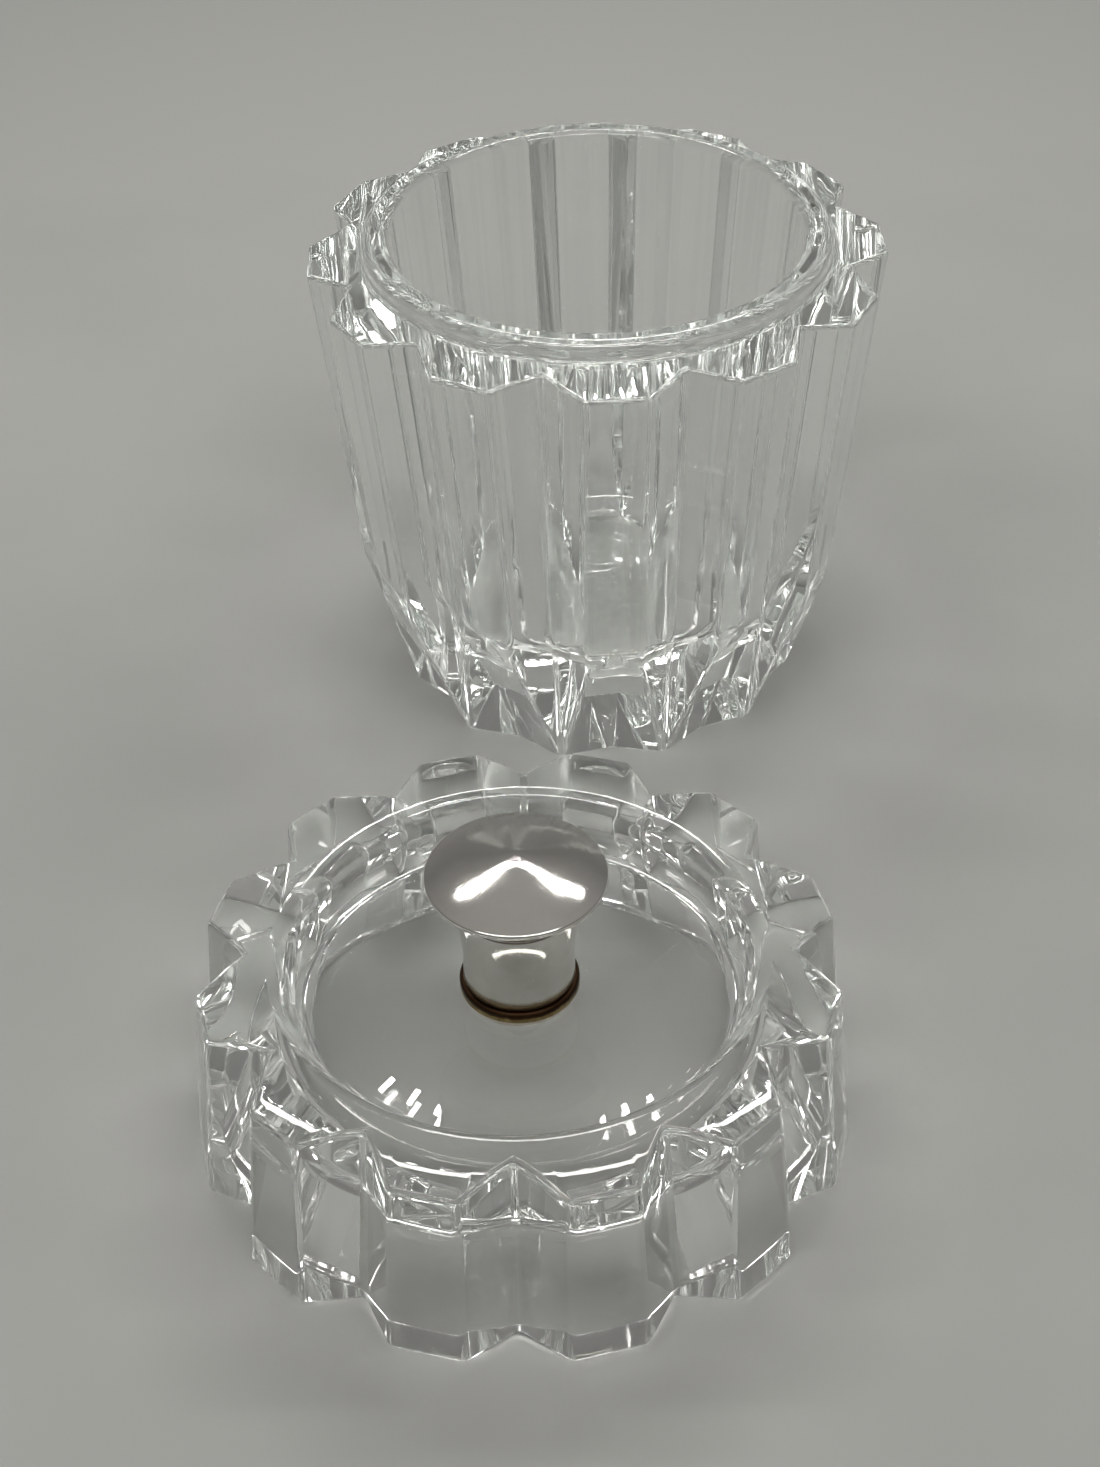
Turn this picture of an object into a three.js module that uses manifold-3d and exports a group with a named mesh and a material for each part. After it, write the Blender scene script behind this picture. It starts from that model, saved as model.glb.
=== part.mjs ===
// Lidded crystal jar with a silver-plated knob, shown open: the jar stands at the
// origin and its lid lies right way up on the same surface, in front of it (-Y).
// Millimetres, +Z up. Every piece is its own closed mesh.
import * as THREE from 'three';
import { mergeVertices } from 'three/addons/utils/BufferGeometryUtils.js';
import Module from 'manifold-3d';

// ---- driving dimensions -------------------------------------------------------------
const LOBES = 12;                    // lobes around the jar and around the lid
const PITCH = (2 * Math.PI) / LOBES;
const ROUND = 72;                    // flats around a turned surface
const FIT = 0.1;                     // play between pieces that are stacked or nested

// jar
const JAR_TURN = 2.0;                // degrees, how the jar stands on the table
const JAR_RIM = 51.6;                // radius over the lobes at the rim
const JAR_VALLEY = 45.4;             // radius at the bottom of the grooves at the rim
const JAR_HALF = 6.2;                // degrees, half a lobe's face
const JAR_TAPER = 0.825;             // foot outline over rim outline, before the mitre cuts
const JAR_LOBE_TOP = 85.8;           // height of the lobes' outer edge
const JAR_SHOULDER = 87.4;           // height of the lobes where they meet the collar
const COLLAR_OUT = 41.6;             // raised collar round the mouth
const COLLAR_TOP = 90.8;
const COLLAR_LAND = 1.1;             // half width of the flat crest
const COLLAR_EDGE = 1.4;             // height of the bevels beside the crest
const MOUTH = 36.7;                  // radius of the mouth
const CAVITY_FOOT = 31.4;            // radius of the cavity just above its floor corner
const CAVITY_FLOOR = 19;             // height of the cavity's floor
const CAVITY_CORNER = 8;             // radius between cavity wall and floor

// mitre cuts round the jar's foot
const CUT_TOP = 29.5;                // height at which a cut leaves the lobe's face
const CUT_FOOT = 34.4;               // radius of the crease at the foot
const CUT_RISE = 0.206;              // how fast the two flats rise away from the crease
const CUT_SIDE = 16;                 // the cutting tool: how far it reaches to each side,
const CUT_REACH = 18;                // outwards,
const CUT_BELOW = 6;                 // below the foot
const CUT_ABOVE = 14;                // and above the cut

// lid
const LID_X = -15.9;                 // where the lid lies
const LID_Y = -122.7;
const LID_TURN = -1.3;               // degrees
const LID_BASE = 52;                 // radius over the lobes at the bottom
const LID_BASE_VALLEY = 45.9;
const LID_BASE_HALF = 6.4;           // degrees
const LID_CROWN = 49.1;              // the same three at the top
const LID_CROWN_VALLEY = 41.9;
const LID_CROWN_HALF = 5.8;
const LID_LOBE_TOP = 32.0;           // height of the lobes' outer edge
const LID_TOP = 33.2;                // height of the flat ring round the well
const LID_RING = 43.7;               // outer radius of that flat ring
const WELL_MOUTH = 38.4;             // well at the flat ring
const WELL_WALL = 35.4;              // well at its steepest
const WELL_FLOOR = 25.5;             // height of the well's floor
const WELL_CORNER = 4.5;             // radius between the well's floor and wall
const WELL_BOWL = 5.4;               // width of that corner
const WELL_LIP = 3.2;                // depth of the rounded lip under the flat ring
const HOLLOW_MOUTH = 42.3;           // hollow underside, fits over the jar's collar
const HOLLOW_TOP = 38.0;
const HOLLOW_CEILING = 17.6;
const HOLLOW_CORNER = 3;             // radius between ceiling and wall
const SCREW_HOLE = 2.6;              // hole for the fixing screw
const SINK = 4.4;                    // sunk seat for its head
const SINK_DEPTH = 3.4;

// knob and its fixing, heights counted from the lid's underside
const PAD = 0.7;                     // soft washer under the knob
const RING_OUT = 9.2;                // brass collar ring
const RING_HEIGHT = 2.0;
const STEM = 8.6;                    // stem at its foot
const STEM_WALL = 0.9;
const CAP = 13.8;                    // cap radius
const CAP_RIM = 49.1;                // height of the cap's edge
const CAP_APEX = 52.3;
const CAP_THICK = 1.1;
const CAP_EDGE = 1.2;                // height of the cap's rolled edge
const SCREW = 2.0;                   // screw thread radius
const SCREW_PLAY = 0.3;              // gap round the screw
const HEAD = 3.4;                    // screw head radius
const HEAD_HEIGHT = 1.7;
const SLOT = 0.9;                    // width of its slot
const WASHER = 0.6;                  // thickness of the two washers at the screw head
const BOSS_HEIGHT = 8;
const BOSS = STEM - STEM_WALL - 0.4; // clears the stem where it narrows

// ---- small tools ----------------------------------------------------------------------
const wasm = await Module();
wasm.setup();

const deg = THREE.MathUtils.degToRad;

function solid(geometry) {
  const bare = geometry.index ? geometry.toNonIndexed() : geometry.clone();
  for (const name of Object.keys(bare.attributes)) {
    if (name !== 'position') bare.deleteAttribute(name);
  }
  const merged = mergeVertices(bare, 1e-4);
  return new wasm.Manifold(new wasm.Mesh({
    numProp: 3,
    vertProperties: new Float32Array(merged.attributes.position.array),
    triVerts: new Uint32Array(merged.index.array),
  }));
}

function geometryOf(manifold) {
  const mesh = manifold.getMesh();
  const geometry = new THREE.BufferGeometry();
  geometry.setAttribute('position', new THREE.BufferAttribute(mesh.vertProperties, 3));
  geometry.setIndex(new THREE.BufferAttribute(mesh.triVerts, 1));
  geometry.computeVertexNormals();
  return geometry;
}

// turn a profile of [radius, height] pairs, listed upwards along the outside, about +Z
function turned(profile, flats = ROUND) {
  const points = profile.map(([r, z]) => new THREE.Vector2(r, z));
  return new THREE.LatheGeometry(points, flats).rotateX(Math.PI / 2);
}

// a ring has a profile that closes on itself instead of touching the axis
function turnedRing(profile, flats = ROUND) {
  return turned([...profile, profile[0]], flats);
}

// points of a quarter or part circle, in degrees
function arc(cx, cz, radius, from, to, steps = 6) {
  return Array.from({ length: steps + 1 }, (_, i) => {
    const a = deg(from + ((to - from) * i) / steps);
    return [cx + radius * Math.cos(a), cz + radius * Math.sin(a)];
  });
}

// closed outline of the lobes: two corners to each lobe and a valley between lobes
function lobedOutline(corner, valley, half, first) {
  const points = [];
  for (let i = 0; i < LOBES; i += 1) {
    const middle = first + i * PITCH;
    points.push([corner, middle - deg(half)], [corner, middle + deg(half)]);
    points.push([valley, middle + PITCH / 2]);
  }
  return points.map(([r, a]) => new THREE.Vector2(r * Math.sin(a), -r * Math.cos(a)));
}

// solid between a lower and an upper outline of the same number of points
function lofted(lower, upper, z0, z1) {
  const count = lower.length;
  const position = [];
  lower.forEach((p) => position.push(p.x, p.y, z0));
  upper.forEach((p) => position.push(p.x, p.y, z1));
  const index = [];
  for (let i = 0; i < count; i += 1) {
    const j = (i + 1) % count;
    index.push(i, j, count + j, i, count + j, count + i);
  }
  THREE.ShapeUtils.triangulateShape(lower, []).forEach(([a, b, c]) => index.push(a, c, b));
  THREE.ShapeUtils.triangulateShape(upper, []).forEach(([a, b, c]) => {
    index.push(count + a, count + b, count + c);
  });
  const geometry = new THREE.BufferGeometry();
  geometry.setAttribute('position', new THREE.Float32BufferAttribute(position, 3));
  geometry.setIndex(index);
  return geometry;
}

// ---- materials --------------------------------------------------------------------------
const crystal = new THREE.MeshStandardMaterial({
  color: 0xdfe6e2, roughness: 0.03, metalness: 0, transparent: true, opacity: 0.35,
});
const silver = new THREE.MeshStandardMaterial({ color: 0xd9d6cf, roughness: 0.08, metalness: 1 });
const brass = new THREE.MeshStandardMaterial({ color: 0x8c7a4c, roughness: 0.35, metalness: 1 });
const steel = new THREE.MeshStandardMaterial({ color: 0xa9a9a6, roughness: 0.3, metalness: 1 });
const rubber = new THREE.MeshStandardMaterial({ color: 0xcfc9bb, roughness: 0.8, metalness: 0 });

// ---- the jar ----------------------------------------------------------------------------
// One mitre cut: two flats that meet in a crease. The crease leans in from the lobe's
// face at CUT_TOP down to CUT_FOOT at the foot. The tool is the glass taken away.
function mitreTool(faceAtCutTop) {
  const lean = Math.atan2(faceAtCutTop - CUT_FOOT, CUT_TOP);
  const length = (CUT_TOP + CUT_ABOVE) / Math.cos(lean) + CUT_BELOW;
  const section = new THREE.Shape([
    new THREE.Vector2(0, 0),
    new THREE.Vector2(CUT_SIDE, -CUT_RISE * CUT_SIDE),
    new THREE.Vector2(CUT_SIDE, -CUT_REACH),
    new THREE.Vector2(-CUT_SIDE, -CUT_REACH),
    new THREE.Vector2(-CUT_SIDE, -CUT_RISE * CUT_SIDE),
  ]);
  const tool = new THREE.ExtrudeGeometry(section, { depth: length, bevelEnabled: false });
  tool.translate(0, 0, -CUT_BELOW);
  tool.rotateX(lean);
  tool.translate(0, -CUT_FOOT, 0);
  return tool;
}

function jarGlass() {
  const rim = lobedOutline(JAR_RIM, JAR_VALLEY, JAR_HALF, 0);
  const foot = rim.map((p) => p.clone().multiplyScalar(JAR_TAPER));
  const lobes = solid(lofted(foot, rim, 0, JAR_LOBE_TOP));
  // above the lobes' outer edge the outline runs straight up and the slope trims it
  const head = solid(lofted(rim, rim, JAR_LOBE_TOP, JAR_SHOULDER));
  const slope = solid(turned([
    [0, -1], [JAR_RIM + 4, -1],
    [JAR_RIM + 4, JAR_LOBE_TOP - 0.6], [JAR_RIM, JAR_LOBE_TOP],
    [COLLAR_OUT, JAR_SHOULDER], [0, JAR_SHOULDER],
  ]));
  const crest = (MOUTH + COLLAR_OUT) / 2;
  const edge = COLLAR_TOP - COLLAR_EDGE;
  const collar = solid(turned([
    [0, JAR_LOBE_TOP - 4], [COLLAR_OUT, JAR_LOBE_TOP - 4], [COLLAR_OUT, edge - 0.9],
    [COLLAR_OUT - 0.4, edge], [crest + COLLAR_LAND, COLLAR_TOP],
    [0, COLLAR_TOP],
  ]));
  const corner = arc(CAVITY_FOOT - CAVITY_CORNER, CAVITY_FLOOR + CAVITY_CORNER,
    CAVITY_CORNER, -90, 0);
  const cavity = solid(turned([
    [0, CAVITY_FLOOR], ...corner,
    [MOUTH, edge], [crest - COLLAR_LAND, COLLAR_TOP],
    [crest - COLLAR_LAND, COLLAR_TOP + 2], [0, COLLAR_TOP + 2],
  ]));
  const faceRim = JAR_RIM * Math.cos(deg(JAR_HALF));
  const faceAtCutTop = faceRim * (JAR_TAPER + ((1 - JAR_TAPER) * CUT_TOP) / JAR_LOBE_TOP);
  let jar = lobes.add(head).intersect(slope).add(collar).subtract(cavity);
  for (let i = 0; i < LOBES; i += 1) {
    jar = jar.subtract(solid(mitreTool(faceAtCutTop).rotateZ(i * PITCH)));
  }
  return geometryOf(jar);
}

// ---- the lid ----------------------------------------------------------------------------
function lidGlass() {
  const first = PITCH / 2;
  const base = lobedOutline(LID_BASE, LID_BASE_VALLEY, LID_BASE_HALF, first);
  const crown = lobedOutline(LID_CROWN, LID_CROWN_VALLEY, LID_CROWN_HALF, first);
  const lobes = solid(lofted(base, crown, 0, LID_TOP));
  const slope = solid(turned([
    [0, -1], [LID_BASE + 2, -1], [LID_BASE + 2, LID_LOBE_TOP - 0.6],
    [LID_CROWN, LID_LOBE_TOP], [LID_RING, LID_TOP], [0, LID_TOP],
  ]));
  const lip = LID_TOP - WELL_LIP;
  const bowl = WELL_WALL - WELL_BOWL;
  const well = solid(turned([
    [0, WELL_FLOOR], [bowl, WELL_FLOOR],
    ...arc(bowl, WELL_FLOOR + WELL_CORNER, WELL_CORNER, -75, -15, 4),
    [WELL_WALL, lip], [WELL_WALL + 1.2, lip + 2.1], [WELL_MOUTH, LID_TOP],
    [WELL_MOUTH, LID_TOP + 2], [0, LID_TOP + 2],
  ]));
  const ceilingArc = arc(HOLLOW_TOP - HOLLOW_CORNER, HOLLOW_CEILING - HOLLOW_CORNER,
    HOLLOW_CORNER, 0, 90, 4);
  const hollow = solid(turned([
    [0, -2], [HOLLOW_MOUTH, -2], [HOLLOW_MOUTH, 0], ...ceilingArc, [0, HOLLOW_CEILING],
  ]));
  const hole = solid(turned([
    [0, HOLLOW_CEILING - 1], [SINK, HOLLOW_CEILING - 1], [SINK, HOLLOW_CEILING + SINK_DEPTH],
    [SCREW_HOLE, HOLLOW_CEILING + SINK_DEPTH], [SCREW_HOLE, WELL_FLOOR + 1], [0, WELL_FLOOR + 1],
  ], 36));
  return geometryOf(lobes.intersect(slope).subtract(well).subtract(hollow).subtract(hole));
}

// ---- knob and fixing ----------------------------------------------------------------------
const padTop = WELL_FLOOR + FIT + PAD;
const ringTop = padTop + FIT + RING_HEIGHT;
const stemFoot = ringTop + FIT;
const bore = SCREW + SCREW_PLAY;

// flat ring between two radii and two heights
function washer(outer, low, high, flats = 48) {
  return turnedRing([[bore, low], [outer, low], [outer, high], [bore, high]], flats);
}

function softWasher() {
  return washer(RING_OUT - 0.5, WELL_FLOOR + FIT, padTop);
}

function collarRing() {
  const z = padTop + FIT;
  return turnedRing([[bore, z], [RING_OUT, z], [RING_OUT, ringTop - 0.5],
    [RING_OUT - 0.4, ringTop], [bore, ringTop]], 48);
}

// the flare is a run of short cones from the stem up to the cap's edge
function stemTube() {
  const flare = [[STEM, stemFoot], [STEM - 0.1, 33], [STEM + 0.3, 39], [STEM + 1.2, 43],
    [STEM + 2.6, 46], [CAP - 0.6, CAP_RIM - 1.3]];
  const inside = flare.map(([r, z]) => [r - STEM_WALL, z]).reverse();
  return turnedRing([...flare, ...inside], 48);
}

// shallow cone with a rolled edge and a blunt tip
function knobCap() {
  const under = CAP_RIM - CAP_EDGE;
  const apexUnder = CAP_APEX - CAP_THICK - 0.7;
  return turned([
    [0, apexUnder], [CAP - 0.7, under], [CAP, under + CAP_EDGE / 2], [CAP - 0.2, CAP_RIM + 0.2],
    [CAP / 2, (CAP_RIM + CAP_APEX) / 2 + 0.3], [1.6, CAP_APEX - 0.1], [0, CAP_APEX],
  ], 48);
}

// tapped plug soldered into the stem's foot: the screw pulls on it
function knobBoss() {
  return washer(BOSS, stemFoot, stemFoot + BOSS_HEIGHT, 36);
}

// under the plate: soft washer, steel washer and screw head, each FIT below the last
const padUnder = HOLLOW_CEILING + SINK_DEPTH - FIT - WASHER;
const washerUnder = padUnder - FIT - WASHER;
const headTop = washerUnder - FIT;

function lowerPad() {
  return washer(SINK - 0.3, padUnder, padUnder + WASHER, 36);
}

function screwWasher() {
  return washer(SINK - 0.3, washerUnder, washerUnder + WASHER, 36);
}

function fixingScrew() {
  const headUnder = headTop - HEAD_HEIGHT;
  const tip = stemFoot + BOSS_HEIGHT - 1;
  const body = turned([[0, headUnder], [HEAD - 1, headUnder], [HEAD, headUnder + 0.6],
    [HEAD, headTop], [SCREW, headTop], [SCREW, tip], [0, tip]], 36);
  const slot = new THREE.BoxGeometry(2 * HEAD + 1, SLOT, HEAD_HEIGHT).translate(0, 0, headUnder);
  return geometryOf(solid(body).subtract(solid(slot)));
}

// ---- assembly -------------------------------------------------------------------------------
const group = new THREE.Group();

function piece(name, geometry, material, parent) {
  const mesh = new THREE.Mesh(geometry, material);
  mesh.name = name;
  parent.add(mesh);
}

const jarGroup = new THREE.Group();
jarGroup.rotation.z = deg(JAR_TURN);
group.add(jarGroup);
piece('jar', jarGlass(), crystal, jarGroup);

const lidGroup = new THREE.Group();
lidGroup.position.set(LID_X, LID_Y, 0);
lidGroup.rotation.z = deg(LID_TURN);
group.add(lidGroup);
piece('lid', lidGlass(), crystal, lidGroup);
piece('knob_pad', softWasher(), rubber, lidGroup);
piece('collar_ring', collarRing(), brass, lidGroup);
piece('knob_stem', stemTube(), silver, lidGroup);
piece('knob_cap', knobCap(), silver, lidGroup);
piece('knob_boss', knobBoss(), brass, lidGroup);
piece('screw_pad', lowerPad(), rubber, lidGroup);
piece('screw_washer', screwWasher(), steel, lidGroup);
piece('fixing_screw', fixingScrew(), steel, lidGroup);

export default group;
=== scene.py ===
import bmesh
import bpy
import math
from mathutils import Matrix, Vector


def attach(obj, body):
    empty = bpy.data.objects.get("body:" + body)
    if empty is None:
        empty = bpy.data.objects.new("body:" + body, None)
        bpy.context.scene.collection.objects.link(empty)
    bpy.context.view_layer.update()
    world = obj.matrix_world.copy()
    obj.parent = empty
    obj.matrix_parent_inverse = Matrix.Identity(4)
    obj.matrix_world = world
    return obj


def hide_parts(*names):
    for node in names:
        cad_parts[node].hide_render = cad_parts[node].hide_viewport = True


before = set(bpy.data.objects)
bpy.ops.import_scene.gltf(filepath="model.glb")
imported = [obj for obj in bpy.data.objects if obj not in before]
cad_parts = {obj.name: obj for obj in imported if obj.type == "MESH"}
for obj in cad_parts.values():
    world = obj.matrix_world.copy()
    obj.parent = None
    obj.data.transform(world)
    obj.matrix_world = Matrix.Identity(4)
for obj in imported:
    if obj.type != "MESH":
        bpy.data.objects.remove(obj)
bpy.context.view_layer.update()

# ---- jar ---------------------------------------------------------------------------------
# One heavy piece of clear crystal: twelve flat-faced lobes with V grooves between them, a
# raised round collar at the mouth and a plain round cavity. It is pressed, then the foot is
# cut round with twelve creased mitres and the whole is polished in acid.
LOBES = 12
JAR_TURN = math.radians(2.0)
JAR_RIM = 0.0516            # radius over the lobes at their top edge
JAR_VALLEY = 0.0454         # radius of the grooves at the same height
JAR_HALF = math.radians(6.2)
JAR_LOBE_TOP = 0.0858
JAR_TAPER = 0.825           # outline at the foot over outline at the rim
JAR_SLOPE = 0.16            # fall of the lobes' tops, per unit outwards
COLLAR_OUT = 0.0416
COLLAR_TOP = 0.0908
MOUTH = 0.0367
CAVITY_FOOT = 0.0314
CAVITY_FLOOR = 0.019
CAVITY_CORNER = 0.008       # radius between the cavity's floor and wall
MOUTH_ROUND = 0.0021        # radius of both edges of the collar's crest
FILLET = 0.0016             # radius of the hollow round the collar's foot
JAR_TRIM = 0.004            # the lobes are built this much past the foot, then trimmed
JAR_EDGE = 0.0008           # softening of every edge
CUT_TOP = 0.0295            # where a mitre's crease leaves the lobe's face
CUT_FOOT = 0.0344           # radius of the crease at the foot
CUT_RISE = 0.206            # slope of the mitre flats away from the crease
ROUND = 144                 # steps round the circles that show
COARSE = 72                 # steps round a tool that only cuts flats
COARSE_TURN = math.radians(2.5)
MERGE = 1e-6


def choose(kind, test):
    """Leaves selected only those vertices, edges or faces of the open piece that pass."""
    mesh = bmesh.from_edit_mesh(bpy.context.object.data)
    for part in (mesh.verts, mesh.edges, mesh.faces):
        for item in part:
            item.select = False
    for item in getattr(mesh, kind):
        if test(item):
            item.select_set(True)
    bmesh.update_edit_mesh(bpy.context.object.data)


def settle(name, turn=0.0, place=(0, 0, 0)):
    """Closes a piece: doubles merged, faces outwards, turned and carried to its place."""
    bpy.ops.mesh.select_all(action="SELECT")
    bpy.ops.mesh.remove_doubles(threshold=MERGE)
    bpy.ops.mesh.normals_make_consistent(inside=False)
    if turn:
        bpy.ops.transform.rotate(value=-turn, orient_axis="Z", center_override=(0, 0, 0))
    bpy.ops.transform.translate(value=place)
    bpy.ops.object.mode_set(mode="OBJECT")
    bpy.ops.object.transform_apply(location=True, rotation=True, scale=True)
    bpy.context.object.name = name
    bpy.context.object.data.name = name
    return bpy.context.object


def lathe(name, profile, steps=ROUND, turn=0.0):
    """A solid turned about Z: its foot is a disc, drawn up ring by ring through the profile."""
    radius, height = profile[0]
    bpy.ops.object.select_all(action="DESELECT")
    bpy.ops.mesh.primitive_circle_add(
        vertices=steps, radius=radius, fill_type="NGON", location=(0, 0, height)
    )
    bpy.ops.object.mode_set(mode="EDIT")
    for next_radius, next_height in profile[1:]:
        bpy.ops.mesh.extrude_region_move(
            TRANSFORM_OT_translate={"value": (0, 0, next_height - height)}
        )
        share = next_radius / radius
        bpy.ops.transform.resize(value=(share, share, 1), center_override=(0, 0, next_height))
        radius, height = next_radius, next_height
    return settle(name, turn)


def bend(centre_r, centre_z, radius, start, end, steps):
    """Points of part of a circle in a profile, by angle from outwards to up, in degrees."""
    return [
        (
            centre_r + radius * math.cos(math.radians(start + (end - start) * i / steps)),
            centre_z + radius * math.sin(math.radians(start + (end - start) * i / steps)),
        )
        for i in range(steps + 1)
    ]


def finish_with(piece, kind, **settings):
    """Adds a modifier with these settings and applies it."""
    modifier = piece.modifiers.new(kind.title(), kind)
    for key, value in settings.items():
        setattr(modifier, key, value)
    bpy.ops.object.select_all(action="DESELECT")
    piece.select_set(True)
    bpy.context.view_layer.objects.active = piece
    bpy.ops.object.modifier_apply(modifier=modifier.name)


def cut(piece, operation, tool):
    """Joins, keeps or takes away the tool's shape, then throws the tool away."""
    finish_with(piece, "BOOLEAN", operation=operation, solver="EXACT", object=tool)
    bpy.data.objects.remove(tool)


def half_lobe(low, high):
    """A closed wedge of half a lobe between two levels.

    Each level is corner radius, groove radius, half angle of the lobe's face, and height.
    """
    bpy.ops.object.select_all(action="DESELECT")
    bpy.ops.mesh.primitive_cube_add(size=2)
    bpy.ops.object.mode_set(mode="EDIT")
    groove = math.pi / LOBES
    for level, (corner, valley, half, height) in ((-1, low), (1, high)):
        face, side = corner * math.cos(half), corner * math.sin(half)
        ends = {
            (-1, -1): (0, 0),
            (1, -1): (face, 0),
            (1, 1): (face, side),
            (-1, 1): (valley * math.cos(groove), valley * math.sin(groove)),
        }
        for (x, y), (to_x, to_y) in ends.items():
            start = Vector((x, y, level))
            choose("verts", lambda v: (v.co - start).length < 1e-4)
            bpy.ops.transform.translate(value=(to_x - x, to_y - y, height - level))


def round_of_lobes(name):
    """Opens the wedge at its two inner walls, mirrors it and sets it twelve times round."""
    groove = Vector((-math.sin(math.pi / LOBES), math.cos(math.pi / LOBES), 0))
    choose(
        "faces",
        lambda f: f.normal.y < -0.999 or (f.normal - groove).length < 1e-3,
    )
    bpy.ops.mesh.delete(type="FACE")
    bpy.ops.mesh.select_all(action="SELECT")
    bpy.ops.mesh.duplicate()
    bpy.ops.transform.resize(value=(1, -1, 1), center_override=(0, 0, 0))
    bpy.ops.mesh.select_all(action="SELECT")
    bpy.ops.mesh.remove_doubles(threshold=MERGE)
    bpy.ops.mesh.spin(
        steps=LOBES - 1,
        dupli=True,
        angle=2 * math.pi * (LOBES - 1) / LOBES,
        center=(0, 0, 0),
        axis=(0, 0, 1),
    )
    return settle(name)


def soften(piece, width, angle):
    """Rounds every edge sharper than this angle."""
    finish_with(
        piece,
        "BEVEL",
        width=width,
        segments=3,
        limit_method="ANGLE",
        angle_limit=math.radians(angle),
        use_clamp_overlap=False,
    )


def jar_level(height):
    """Corner radius, groove radius and half angle of the tapering lobes at a height."""
    share = JAR_TAPER + (1 - JAR_TAPER) * height / JAR_LOBE_TOP
    return JAR_RIM * share, JAR_VALLEY * share, JAR_HALF, height


# the lobes start a little long at both ends and are trimmed to height
half_lobe(jar_level(-JAR_TRIM), jar_level(JAR_LOBE_TOP + 0.002))
face_at_cut = JAR_RIM * math.cos(JAR_HALF)
face_at_cut *= JAR_TAPER + (1 - JAR_TAPER) * CUT_TOP / JAR_LOBE_TOP
lean = math.atan2(face_at_cut - CUT_FOOT, CUT_TOP)
crease = Vector((math.sin(lean), 0, math.cos(lean)))
outward = Vector((math.cos(lean), 0, -math.sin(lean)))
flat = crease.cross(Vector((0, 1, 0)) + CUT_RISE * outward)
if flat.dot(outward) < 0:
    flat = -flat
bpy.ops.mesh.select_all(action="SELECT")
bpy.ops.mesh.bisect(
    plane_co=(CUT_FOOT, 0, 0), plane_no=flat, use_fill=True, clear_outer=True
)
jar = round_of_lobes("jar_glass")

past = JAR_RIM * 1.2
shoulder = JAR_LOBE_TOP + JAR_SLOPE * (JAR_RIM - COLLAR_OUT)
inside = COLLAR_OUT - 0.003
cut(
    jar,
    "INTERSECT",
    lathe(
        "shoulder_tool",
        [
            (past, -0.01),
            (past, JAR_LOBE_TOP - JAR_SLOPE * (past - JAR_RIM)),
            (inside, JAR_LOBE_TOP + JAR_SLOPE * (JAR_RIM - inside)),
        ],
        COARSE,
        COARSE_TURN,
    ),
)
soften(jar, JAR_EDGE, 14)
bpy.ops.object.mode_set(mode="EDIT")
bpy.ops.mesh.select_all(action="SELECT")
bpy.ops.mesh.bisect(plane_co=(0, 0, 0), plane_no=(0, 0, -1), use_fill=True, clear_outer=True)
settle("jar_glass")
collar_mid = (MOUTH + COLLAR_OUT) / 2
crest = COLLAR_TOP - MOUTH_ROUND
wall_foot = CAVITY_FLOOR + CAVITY_CORNER
cut(
    jar,
    "UNION",
    lathe(
        "collar_tool",
        [
            (inside, JAR_LOBE_TOP - 0.004),
            (COLLAR_OUT + FILLET + 0.0006, shoulder - 0.0006),
            *bend(COLLAR_OUT + FILLET, shoulder + 0.0013, FILLET, 250, 180, 5),
            *bend(collar_mid + 0.0004, crest, MOUTH_ROUND, 5, 85, 7),
        ],
    ),
)
cut(
    jar,
    "DIFFERENCE",
    lathe(
        "cavity_tool",
        [
            (0.006, CAVITY_FLOOR),
            *bend(CAVITY_FOOT - CAVITY_CORNER, wall_foot, CAVITY_CORNER, -88, -4, 9),
            *[
                (
                    CAVITY_FOOT + (MOUTH - CAVITY_FOOT) * k / 5,
                    wall_foot + (crest - wall_foot) * k / 5,
                )
                for k in range(1, 6)
            ],
            *bend(collar_mid - 0.0004, crest, MOUTH_ROUND, 175, 95, 7),
            (collar_mid - 0.0002, COLLAR_TOP + 0.00003),
            (collar_mid, COLLAR_TOP + 0.002),
        ],
    ),
)
bpy.ops.object.mode_set(mode="EDIT")
settle("jar_glass", JAR_TURN)


def shine_up(piece):
    """Smooth shading that keeps the flats flat and blends only across the small bevels."""
    bpy.ops.object.select_all(action="DESELECT")
    piece.select_set(True)
    bpy.context.view_layer.objects.active = piece
    bpy.ops.object.shade_smooth_by_angle(angle=math.radians(35))
    finish_with(piece, "WEIGHTED_NORMAL", mode="FACE_AREA", weight=100, keep_sharp=True)


def new_material(name):
    """A material with a Principled shader, and the function that adds wired nodes to it."""
    material = bpy.data.materials.new(name)
    material.use_nodes = True
    tree = material.node_tree
    surface = tree.nodes["Principled BSDF"]

    def add(kind, inputs=(), **settings):
        node = tree.nodes.new("ShaderNode" + kind)
        for key, value in settings.items():
            setattr(node, key, value)
        for key, value in dict(inputs).items():
            if isinstance(value, bpy.types.NodeSocket):
                tree.links.new(value, node.inputs[key])
            else:
                node.inputs[key].default_value = value
        return node

    def wire(socket, name):
        tree.links.new(socket, surface.inputs[name])

    return material, surface, add, wire


def ramp(add, factor, stops):
    """A colour ramp through (position, colour) stops."""
    node = add("ValToRGB", {"Fac": factor})
    elements = node.color_ramp.elements
    while len(elements) < len(stops):
        elements.new(0.5)
    for element, (position, colour) in zip(elements, stops):
        element.position = position
        element.color = (*colour, 1)
    return node.outputs["Color"]


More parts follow.
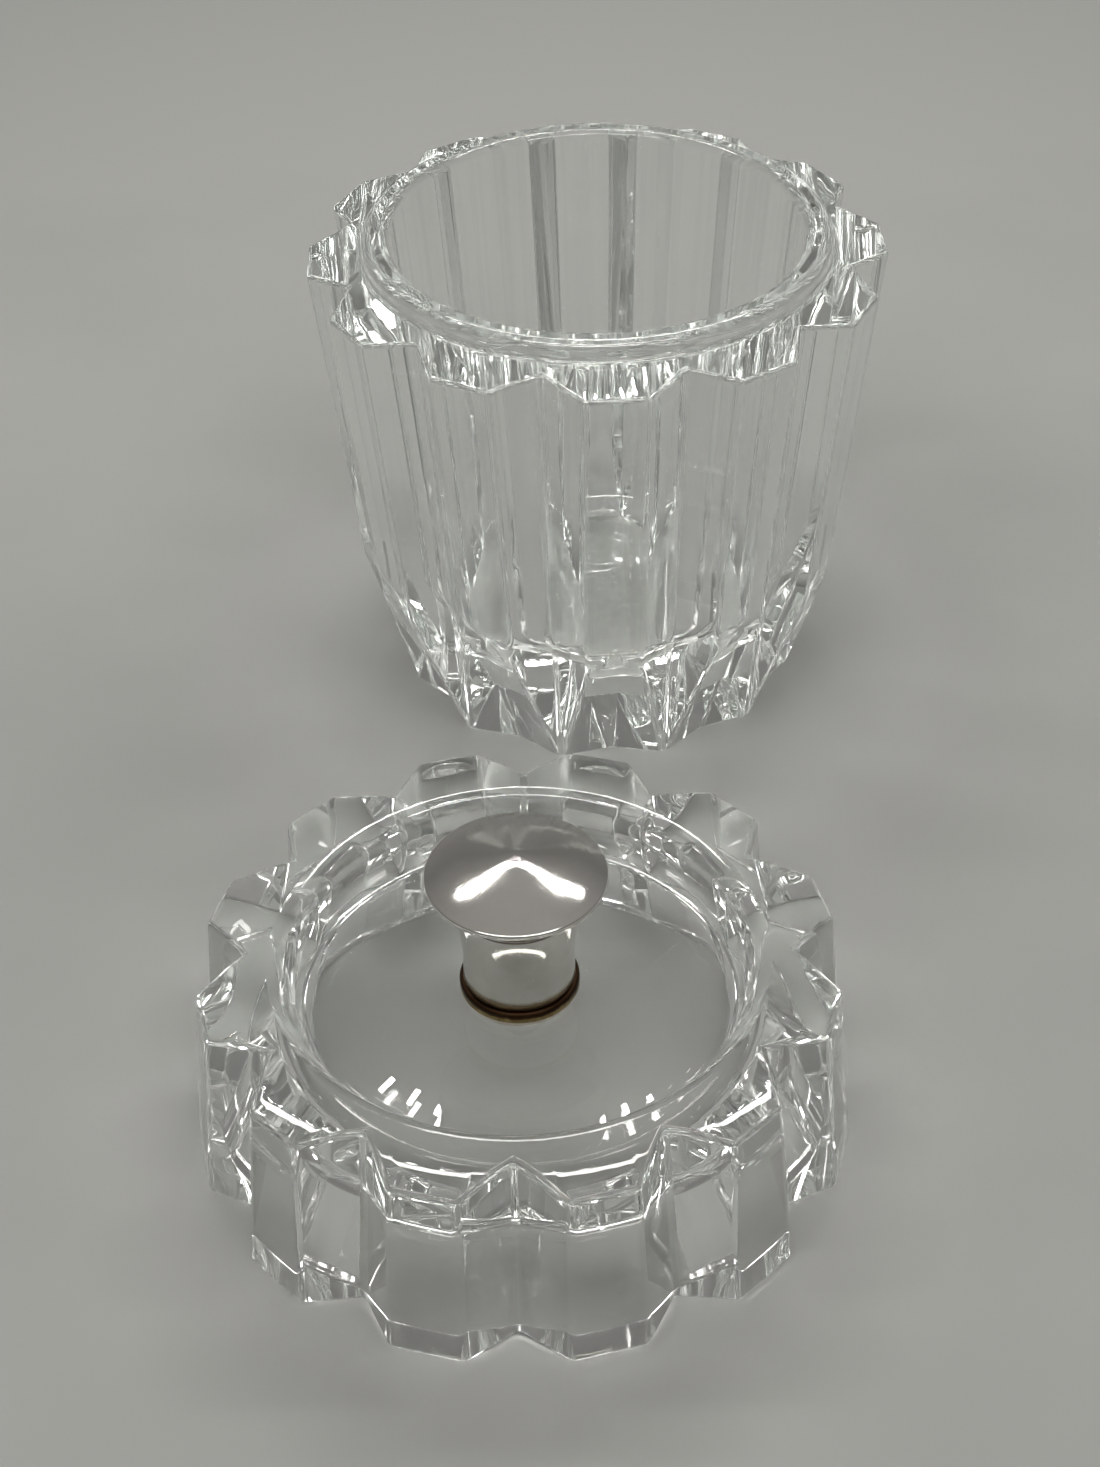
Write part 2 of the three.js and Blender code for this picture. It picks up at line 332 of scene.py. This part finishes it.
def crystal_material(name, wave):
    """Clear polished crystal: a faint cool tint, ripples left by the acid, handling haze."""
    material, surface, add, wire = new_material(name)
    surface.inputs["IOR"].default_value = 1.54
    surface.inputs["Transmission Weight"].default_value = 1.0
    place = add("TexCoord").outputs["Object"]
    cloud = add("TexNoise", {"Vector": place, "Scale": 30.0, "Detail": 3.0})
    tints = [(0.35, (0.985, 0.995, 0.99)), (0.7, (1, 1, 1))]
    wire(ramp(add, cloud.outputs["Fac"], tints), "Base Color")
    smear = add("TexNoise", {"Vector": place, "Scale": 70.0, "Detail": 4.0, "Roughness": 0.6})
    haze = add(
        "MapRange",
        {"Value": smear.outputs["Fac"], "From Min": 0.45, "From Max": 0.8, "To Max": 0.035},
    )
    wire(haze.outputs["Result"], "Roughness")
    ripple = add("TexNoise", {"Vector": place, "Scale": 38.0, "Detail": 1.0})
    relief = add("Bump", {"Height": ripple.outputs["Fac"], "Strength": wave, "Distance": 0.0006})
    wire(relief.outputs["Normal"], "Normal")
    depth = add("VolumeAbsorption", {"Color": (0.86, 0.93, 0.89, 1), "Density": 2.5})
    material.node_tree.links.new(
        depth.outputs["Volume"], material.node_tree.nodes["Material Output"].inputs["Volume"]
    )
    return material


shine_up(jar)
jar.data.materials.append(crystal_material("jar_crystal", 0.2))
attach(jar, "jar_body")
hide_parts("jar")

# ---- lid ---------------------------------------------------------------------------------
# The second piece of crystal, a thick cog of the same twelve lobes. Its top has a flat ring
# round a shallow well, and its underside is hollow so that it drops over the jar's collar.
# It lies right way up in front of the jar.
LID_PLACE = (-0.0159, -0.1227, 0)
LID_TURN = math.radians(15 - 1.3)
LID_BASE = (0.052, 0.0459, math.radians(6.4))     # corner radius, groove radius, half angle
LID_CROWN = (0.0491, 0.0419, math.radians(5.8))
LID_LOBE_TOP = 0.032
LID_TOP = 0.0332
LID_RING = 0.0437
WELL_WALL = 0.0354
WELL_LIP = 0.0032
WELL_CORNER = 0.0045
WELL_FLOOR = 0.0255
HOLLOW_MOUTH = 0.0423
HOLLOW_TOP = 0.038
HOLLOW_CEILING = 0.0176
HOLLOW_CORNER = 0.003
SEAT = 0.0044               # sunk seat for the screw's head, and the hole through the plate
SEAT_TOP = HOLLOW_CEILING + 0.0034
SCREW_HOLE = 0.0026
LID_EDGE = 0.0009           # softening of every edge


def lid_level(height):
    """The lid's outline at a height, on the way from base to crown."""
    share = height / LID_TOP
    return *(b + (c - b) * share for b, c in zip(LID_BASE, LID_CROWN)), height


half_lobe(lid_level(0), lid_level(LID_TOP + 0.001))
for k in range(1, 6):       # the groove walls twist a little, so they are built in strips
    bpy.ops.mesh.select_all(action="SELECT")
    bpy.ops.mesh.bisect(plane_co=(0, 0, LID_TOP * k / 6), plane_no=(0, 0, 1))
lid = round_of_lobes("lid_glass")
fall = (LID_TOP - LID_LOBE_TOP) / (LID_CROWN[0] - LID_RING)
wide = LID_BASE[0] * 1.2
cut(
    lid,
    "INTERSECT",
    lathe(
        "crown_tool",
        [
            (wide, -0.01),
            (wide, LID_TOP - fall * (wide - LID_RING)),
            (LID_RING, LID_TOP),
        ],
        COARSE,
        COARSE_TURN,
    ),
)
soften(lid, LID_EDGE, 20)
floor_r = WELL_WALL - WELL_CORNER
hollow_r = HOLLOW_TOP - HOLLOW_CORNER
lip_r = WELL_WALL + WELL_LIP
cut(
    lid,
    "DIFFERENCE",
    lathe(
        "well_tool",
        [
            *bend(floor_r, WELL_FLOOR + WELL_CORNER, WELL_CORNER, -90, -5, 10),
            *bend(lip_r, LID_TOP - WELL_LIP, WELL_LIP, 178, 96, 9),
            (lip_r, LID_TOP + 0.00003),
            (lip_r, LID_TOP + 0.002),
        ],
    ),
)
cut(
    lid,
    "DIFFERENCE",
    lathe(
        "hollow_tool",
        [
            (HOLLOW_MOUTH + 0.0008, -0.001),
            (HOLLOW_MOUTH + 0.0004, 0.0),
            (HOLLOW_MOUTH, 0.0006),
            *bend(hollow_r, HOLLOW_CEILING - HOLLOW_CORNER, HOLLOW_CORNER, 3, 90, 8),
        ],
    ),
)
cut(
    lid,
    "DIFFERENCE",
    lathe(
        "hole_tool",
        [
            (SEAT + 0.0003, HOLLOW_CEILING - 0.002),
            (SEAT + 0.0003, HOLLOW_CEILING),
            (SEAT, HOLLOW_CEILING + 0.0004),
            (SEAT, SEAT_TOP),
            (SCREW_HOLE, SEAT_TOP),
            (SCREW_HOLE, WELL_FLOOR + 0.002),
        ],
        48,
    ),
)
bpy.ops.object.mode_set(mode="EDIT")
settle("lid_glass", LID_TURN, LID_PLACE)
shine_up(lid)
lid.data.materials.append(crystal_material("lid_crystal", 0.04))
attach(lid, "lid_body")
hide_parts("lid")

# ---- collar ring -------------------------------------------------------------------------
# Turned brass ring under the knob, with a soft washer between it and the glass. It is dull,
# and brown tarnish has crept up the joint between it and the stem.
RING_OUT = 0.0092
RING_LOW = 0.0264
RING_TOP = 0.0284
BORE = 0.0023


def carry(piece, turn, place):
    """Turns a piece built on the Z axis and carries it to where it lies, in its mesh."""
    bpy.ops.object.select_all(action="DESELECT")
    piece.select_set(True)
    bpy.context.view_layer.objects.active = piece
    bpy.ops.object.mode_set(mode="EDIT")
    settle(piece.name, turn, place)


def bored(name, profile, steps=96):
    """A turned piece with the screw's hole through it."""
    piece = lathe(name, profile, steps)
    low, high = profile[0][1] - 0.001, profile[-1][1] + 0.001
    cut(piece, "DIFFERENCE", lathe("bore_tool", [(BORE, low), (BORE, high)], 48))
    return piece


def brass_material():
    """Dull brass: yellow metal under uneven brown tarnish that is darkest along its top edge."""
    material, surface, add, wire = new_material("dull_brass")
    surface.inputs["Metallic"].default_value = 1.0
    place = add("TexCoord").outputs["Object"]
    stain = add("TexNoise", {"Vector": place, "Scale": 420.0, "Detail": 5.0, "Roughness": 0.65})
    height = add("SeparateXYZ", {"Vector": place}).outputs["Z"]
    joint = add(
        "MapRange",
        {"Value": height, "From Min": RING_TOP - 0.0011, "From Max": RING_TOP - 0.0001},
    ).outputs["Result"]
    both = add("Math", {0: stain.outputs["Fac"], 1: joint}, operation="ADD").outputs[0]
    shades = [
        (0.3, (0.50, 0.40, 0.20)),
        (0.5, (0.34, 0.26, 0.12)),
        (0.75, (0.12, 0.07, 0.03)),
        (1.0, (0.035, 0.018, 0.009)),
    ]
    wire(ramp(add, both, shades), "Base Color")
    rub = add("MapRange", {"Value": stain.outputs["Fac"], "To Min": 0.2, "To Max": 0.55})
    wire(rub.outputs["Result"], "Roughness")
    grain = add("TexNoise", {"Vector": place, "Scale": 1500.0, "Detail": 2.0})
    relief = add("Bump", {"Height": grain.outputs["Fac"], "Strength": 0.2, "Distance": 0.00005})
    wire(relief.outputs["Normal"], "Normal")
    return material


brass = brass_material()
ring = bored(
    "collar_ring_turned",
    [
        (RING_OUT - 0.0003, RING_LOW),
        (RING_OUT, RING_LOW + 0.0003),
        (RING_OUT, RING_TOP - 0.0007),
        *bend(RING_OUT - 0.0005, RING_TOP - 0.0005, 0.0005, 10, 90, 4),
        (RING_OUT - 0.0009, RING_TOP),
    ],
)
carry(ring, LID_TURN, LID_PLACE)
shine_up(ring)
ring.data.materials.append(brass)
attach(ring, "lid_body")
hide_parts("collar_ring")

# ---- knob stem ---------------------------------------------------------------------------
# Drawn and silver-plated brass tube, a little waisted, that flares out to carry the cap. It
# is soldered to the cap at the top and to the boss inside its foot.
STEM = 0.0086
STEM_WALL = 0.0009
STEM_FOOT = RING_TOP + 0.0001
CAP = 0.0138
CAP_RIM = 0.0491
CAP_APEX = 0.0523
CAP_EDGE = 0.0012


def silver_material():
    """Polished silver plate: warm, faint wiping marks round the axis, brown at the foot."""
    material, surface, add, wire = new_material("polished_silver")
    surface.inputs["Metallic"].default_value = 1.0
    place = add("TexCoord").outputs["Object"]
    centred = add("Mapping", {"Vector": place, "Location": [-c for c in LID_PLACE]}).outputs[0]
    height = add("SeparateXYZ", {"Vector": place}).outputs["Z"]
    cloud = add("TexNoise", {"Vector": place, "Scale": 160.0, "Detail": 4.0, "Roughness": 0.6})
    foot = add(
        "MapRange",
        {"Value": height, "From Min": STEM_FOOT + 0.0003, "From Max": STEM_FOOT + 0.0021,
         "To Min": 0.72, "To Max": 0.0},
    ).outputs["Result"]
    creep = add("MapRange", {"Value": cloud.outputs["Fac"], "To Min": -0.12, "To Max": 0.3})
    stain = add("Math", {0: foot, 1: creep.outputs["Result"]}, operation="ADD").outputs[0]
    shades = [
        (0.0, (0.90, 0.885, 0.86)),
        (0.2, (0.80, 0.775, 0.73)),
        (0.45, (0.42, 0.31, 0.18)),
        (0.8, (0.07, 0.035, 0.015)),
    ]
    wire(ramp(add, stain, shades), "Base Color")
    rough = add("MapRange", {"Value": stain, "From Max": 0.8, "To Min": 0.045, "To Max": 0.4})
    wire(rough.outputs["Result"], "Roughness")
    spokes = add("TexGradient", {"Vector": centred}, gradient_type="RADIAL").outputs["Fac"]
    lines = add("TexNoise", {"W": spokes, "Scale": 160.0, "Detail": 3.0}, noise_dimensions="1D")
    relief = add("Bump", {"Height": lines.outputs["Fac"], "Strength": 0.12, "Distance": 0.00004})
    wire(relief.outputs["Normal"], "Normal")
    return material


silver = silver_material()
flare = [
    (STEM - 0.0002, STEM_FOOT),
    (STEM, STEM_FOOT + 0.0003),
    (STEM - 0.00005, 0.031),
    (STEM - 0.00008, 0.033),
    (STEM, 0.0355),
    (STEM + 0.0002, 0.0380),
    (STEM + 0.0006, 0.0405),
    (STEM + 0.0012, 0.0430),
    (STEM + 0.0021, 0.0451),
    (STEM + 0.0032, 0.0466),
    (CAP - 0.0008, CAP_RIM - CAP_EDGE - 0.0001),
]
stem = lathe("knob_stem_drawn", flare, 96)
bore = [(r - STEM_WALL, z) for r, z in flare]
bore[0] = (bore[0][0], STEM_FOOT - 0.001)
bore.append((CAP - 0.0008, CAP_RIM + 0.001))
cut(stem, "DIFFERENCE", lathe("stem_bore_tool", bore, 96))
carry(stem, LID_TURN, LID_PLACE)
shine_up(stem)
stem.data.materials.append(silver)
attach(stem, "lid_body")
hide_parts("knob_stem")

# ---- knob cap ----------------------------------------------------------------------------
# Spun silver-plated disc: a shallow cone with a blunt tip that turns over into a thin rolled
# edge. The stem is soldered to it from below.
cap = lathe(
    "knob_cap_spun",
    [
        (0.0010, CAP_APEX - 0.0018),
        (CAP / 2, (CAP_APEX + CAP_RIM) / 2 - 0.0015),
        (CAP - 0.0012, CAP_RIM - CAP_EDGE),
        *bend(CAP - 0.00055, CAP_RIM - 0.00055, 0.00055, -80, 62, 8),
        (CAP - 0.0014, CAP_RIM + 0.00035),
        (CAP * 0.8, CAP_RIM + 0.00088),
        (CAP * 0.65, CAP_RIM + 0.00143),
        (CAP * 0.5, CAP_RIM + 0.00193),
        (CAP * 0.35, CAP_RIM + 0.00240),
        (CAP * 0.22, CAP_RIM + 0.00281),
        (CAP * 0.13, CAP_RIM + 0.00307),
        (CAP * 0.08, CAP_APEX - 0.00006),
        (CAP * 0.04, CAP_APEX - 0.00001),
        (CAP * 0.01, CAP_APEX),
    ],
)
carry(cap, LID_TURN, LID_PLACE)
shine_up(cap)
cap.data.materials.append(silver)
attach(cap, "lid_body")
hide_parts("knob_cap")

# ---- hidden fixing -----------------------------------------------------------------------
# Under the ring and inside the stem: a soft washer, the tapped brass boss, and below the
# plate a second soft washer, a steel washer and the slotted screw that pulls it all tight.


def washer_material():
    """Soft off-white washer: matt, a little mottled."""
    material, surface, add, wire = new_material("soft_washer")
    place = add("TexCoord").outputs["Object"]
    mottle = add("TexNoise", {"Vector": place, "Scale": 500.0, "Detail": 3.0})
    shades = [(0.3, (0.60, 0.56, 0.48)), (0.7, (0.74, 0.71, 0.64))]
    wire(ramp(add, mottle.outputs["Fac"], shades), "Base Color")
    rub = add("MapRange", {"Value": mottle.outputs["Fac"], "To Min": 0.6, "To Max": 0.85})
    wire(rub.outputs["Result"], "Roughness")
    return material


def steel_material():
    """Zinc-grey steel with fine turning marks and small dull patches."""
    material, surface, add, wire = new_material("zinc_steel")
    surface.inputs["Metallic"].default_value = 1.0
    place = add("TexCoord").outputs["Object"]
    patch = add("TexNoise", {"Vector": place, "Scale": 350.0, "Detail": 4.0})
    shades = [(0.3, (0.46, 0.46, 0.45)), (0.7, (0.66, 0.66, 0.65))]
    wire(ramp(add, patch.outputs["Fac"], shades), "Base Color")
    rub = add("MapRange", {"Value": patch.outputs["Fac"], "To Min": 0.25, "To Max": 0.5})
    wire(rub.outputs["Result"], "Roughness")
    return material


washer, steel = washer_material(), steel_material()
for node, material in (
    ("knob_pad", washer),
    ("screw_pad", washer),
    ("knob_boss", brass),
    ("screw_washer", steel),
    ("fixing_screw", steel),
):
    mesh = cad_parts[node].data
    mesh.materials.clear()
    mesh.materials.append(material)

# ---- floor -------------------------------------------------------------------------------
# A pale grey table top that runs on past the edges of the view. It lies a hair below the
# glass, so that light reaches the glass's underside.
FLOOR_SIZE = 6
FLOOR_GAP = 0.0003
bpy.ops.object.select_all(action="DESELECT")
bpy.ops.mesh.primitive_plane_add(size=FLOOR_SIZE, location=(0, 0, -FLOOR_GAP))
floor = bpy.context.object
floor.name = "floor"


def table_material():
    """Matt pale grey with a barely visible cloud, and painted shade that makes it a little
    darker in the middle.
    """
    material, surface, add, wire = new_material("pale_table")
    surface.inputs["Specular IOR Level"].default_value = 0.2
    place = add("TexCoord").outputs["Object"]
    cloud = add("TexNoise", {"Vector": place, "Scale": 8.0, "Detail": 5.0})
    # painted shade: the grey darkens towards the middle, round the glass, where shade falls; the
    # cloud is added on top
    spread = add("VectorMath", {0: place, 1: (0, -0.06, 0)}, operation="DISTANCE")
    share = add(
        "MapRange", {"Value": spread.outputs["Value"], "From Min": 0.1, "From Max": 0.45}
    )
    cloud_and_painted_shade = add("Math", {0: share.outputs["Result"], 1: cloud.outputs["Fac"]}, operation="ADD")
    tones = [(0.4, (0.355, 0.36, 0.348)), (0.95, (0.43, 0.435, 0.42))]
    wire(ramp(add, cloud_and_painted_shade.outputs["Value"], tones), "Base Color")
    surface.inputs["Roughness"].default_value = 0.7
    return material


floor.data.materials.append(table_material())

# ---- light -------------------------------------------------------------------------------
# A light tent: pale cloth all round, lighter overhead, with one soft bar across the back of
# its roof, one across the front, a row of small lamps beside each bar, and a curved row of
# short strips at the back.
CLOTH = ((0.1, 0.21), (0.5, 0.15), (0.95, 0.29))    # height up the tent, brightness
TENT_MIDDLE = Vector((0, -0.03, 0.6))
TENT_HALF = Vector((0.3, 0.24, 0))
BAR_WIDTH = 0.045
BARS = (("front", -1, 1.5), ("back", 1, 1.7))       # name, side, watts
LAMP_SIZE = 0.005
LAMP_GAP = 0.016
LAMP_OFFSET = 0.04          # from the bar to its row of lamps
world = bpy.data.worlds.new("tent")
bpy.context.scene.world = world
world.use_nodes = True
tent = world.node_tree
heading = tent.nodes.new("ShaderNodeTexCoord")
height = tent.nodes.new("ShaderNodeSeparateXYZ")
cloth = tent.nodes.new("ShaderNodeValToRGB")
tent.links.new(heading.outputs["Generated"], height.inputs["Vector"])
tent.links.new(height.outputs["Z"], cloth.inputs["Fac"])
tent.links.new(cloth.outputs["Color"], tent.nodes["Background"].inputs["Color"])
cloth.color_ramp.elements.new(0.5)
for element, (position, shade) in zip(cloth.color_ramp.elements, CLOTH):
    element.position = position
    element.color = (shade, shade * 0.98, shade * 0.94, 1)


def glow_material(name, strength):
    """White light given out by the lamps."""
    material = bpy.data.materials.new(name)
    material.use_nodes = True
    surface = material.node_tree.nodes["Principled BSDF"]
    surface.inputs["Base Color"].default_value = (0, 0, 0, 1)
    surface.inputs["Emission Color"].default_value = (1, 0.99, 0.97, 1)
    surface.inputs["Emission Strength"].default_value = strength
    return material


glow = glow_material("small_lamps", 110.0)
span = 2 * TENT_HALF.x
for name, way, power in BARS:
    side = Vector((0, way, 0))
    middle = TENT_MIDDLE + side * TENT_HALF
    bpy.ops.object.light_add(type="AREA", location=middle)
    bar = bpy.context.object
    bar.name = "bar_" + name
    bar.data.shape = "RECTANGLE"
    bar.data.size, bar.data.size_y = span, BAR_WIDTH
    bar.data.energy = power
    bar.data.color = (1, 0.985, 0.955)
    count = round(span / LAMP_GAP)
    start = middle + side * LAMP_OFFSET - Vector(((count - 1) * LAMP_GAP / 2, 0, 0))
    bpy.ops.object.select_all(action="DESELECT")
    bpy.ops.mesh.primitive_plane_add(size=LAMP_SIZE, location=start)
    row = bpy.context.object
    row.name = "lamps_" + name
    finish_with(
        row,
        "ARRAY",
        count=count,
        use_relative_offset=False,
        use_constant_offset=True,
        constant_offset_displace=(LAMP_GAP, 0, 0),
    )
    row.data.materials.append(glow)

# The curved row of short strips glints in the floor of the lid's well, either side of the
# knob.
STRIP_COUNT = 13
STRIP_RISE = math.radians(48)
STRIP_REACH = 0.8
STRIP_GAP = 0.0125
STRIP_SAG = 0.02            # the end strips hang this much lower
STRIP_LEAN = math.radians(45)
STRIP_SIZE = (0.0026, 0.009, 1)
well_front = Vector((-0.016, -0.15, 0.03))
outward = Vector((0, math.cos(STRIP_RISE), math.sin(STRIP_RISE)))
downward = Vector((0, math.sin(STRIP_RISE), -math.cos(STRIP_RISE)))
half_count = (STRIP_COUNT - 1) / 2
strip_glow = glow_material("strips", 60.0)
for number in range(STRIP_COUNT):
    share = (number - half_count) / half_count
    across = Vector((share * half_count * STRIP_GAP, 0, 0))
    bpy.ops.object.select_all(action="DESELECT")
    bpy.ops.mesh.primitive_plane_add(
        size=1,
        location=well_front + outward * STRIP_REACH + downward * STRIP_SAG * share**2 + across,
        rotation=(-outward).to_track_quat("Z", "Y").to_euler(),
    )
    strip = bpy.context.object
    strip.name = "strip_" + str(number)
    strip.scale = STRIP_SIZE
    strip.rotation_euler.rotate_axis("Z", -share * STRIP_LEAN)
    strip.data.materials.append(strip_glow)

# ---- camera ------------------------------------------------------------------------------
# A view from the front, looking down over the lid to the jar. Light needs many bounces to
# find its way out of thick glass, or its inner faces turn black.
CAMERA_PLACE = (-0.01035, -0.3915, 0.2942)
CAMERA_DOWN = math.radians(39.148)
CAMERA_ROLL = math.radians(-1.394)
BOUNCES = 32
bpy.ops.object.camera_add(location=CAMERA_PLACE)
camera = bpy.context.object
camera.rotation_mode = "XYZ"
camera.rotation_euler = (math.pi / 2 - CAMERA_DOWN, 0, 0)
camera.rotation_euler.rotate_axis("Z", CAMERA_ROLL)
camera.data.sensor_fit = "VERTICAL"
camera.data.sensor_height = 36
camera.data.lens = 60.3
camera.data.clip_start = 0.01
bpy.context.scene.camera = camera

bpy.context.scene.view_settings.view_transform = "Standard"
cycles = bpy.context.scene.cycles
cycles.max_bounces = BOUNCES
cycles.transmission_bounces = BOUNCES
cycles.glossy_bounces = BOUNCES
cycles.sample_clamp_indirect = 30
cycles.blur_glossy = 0
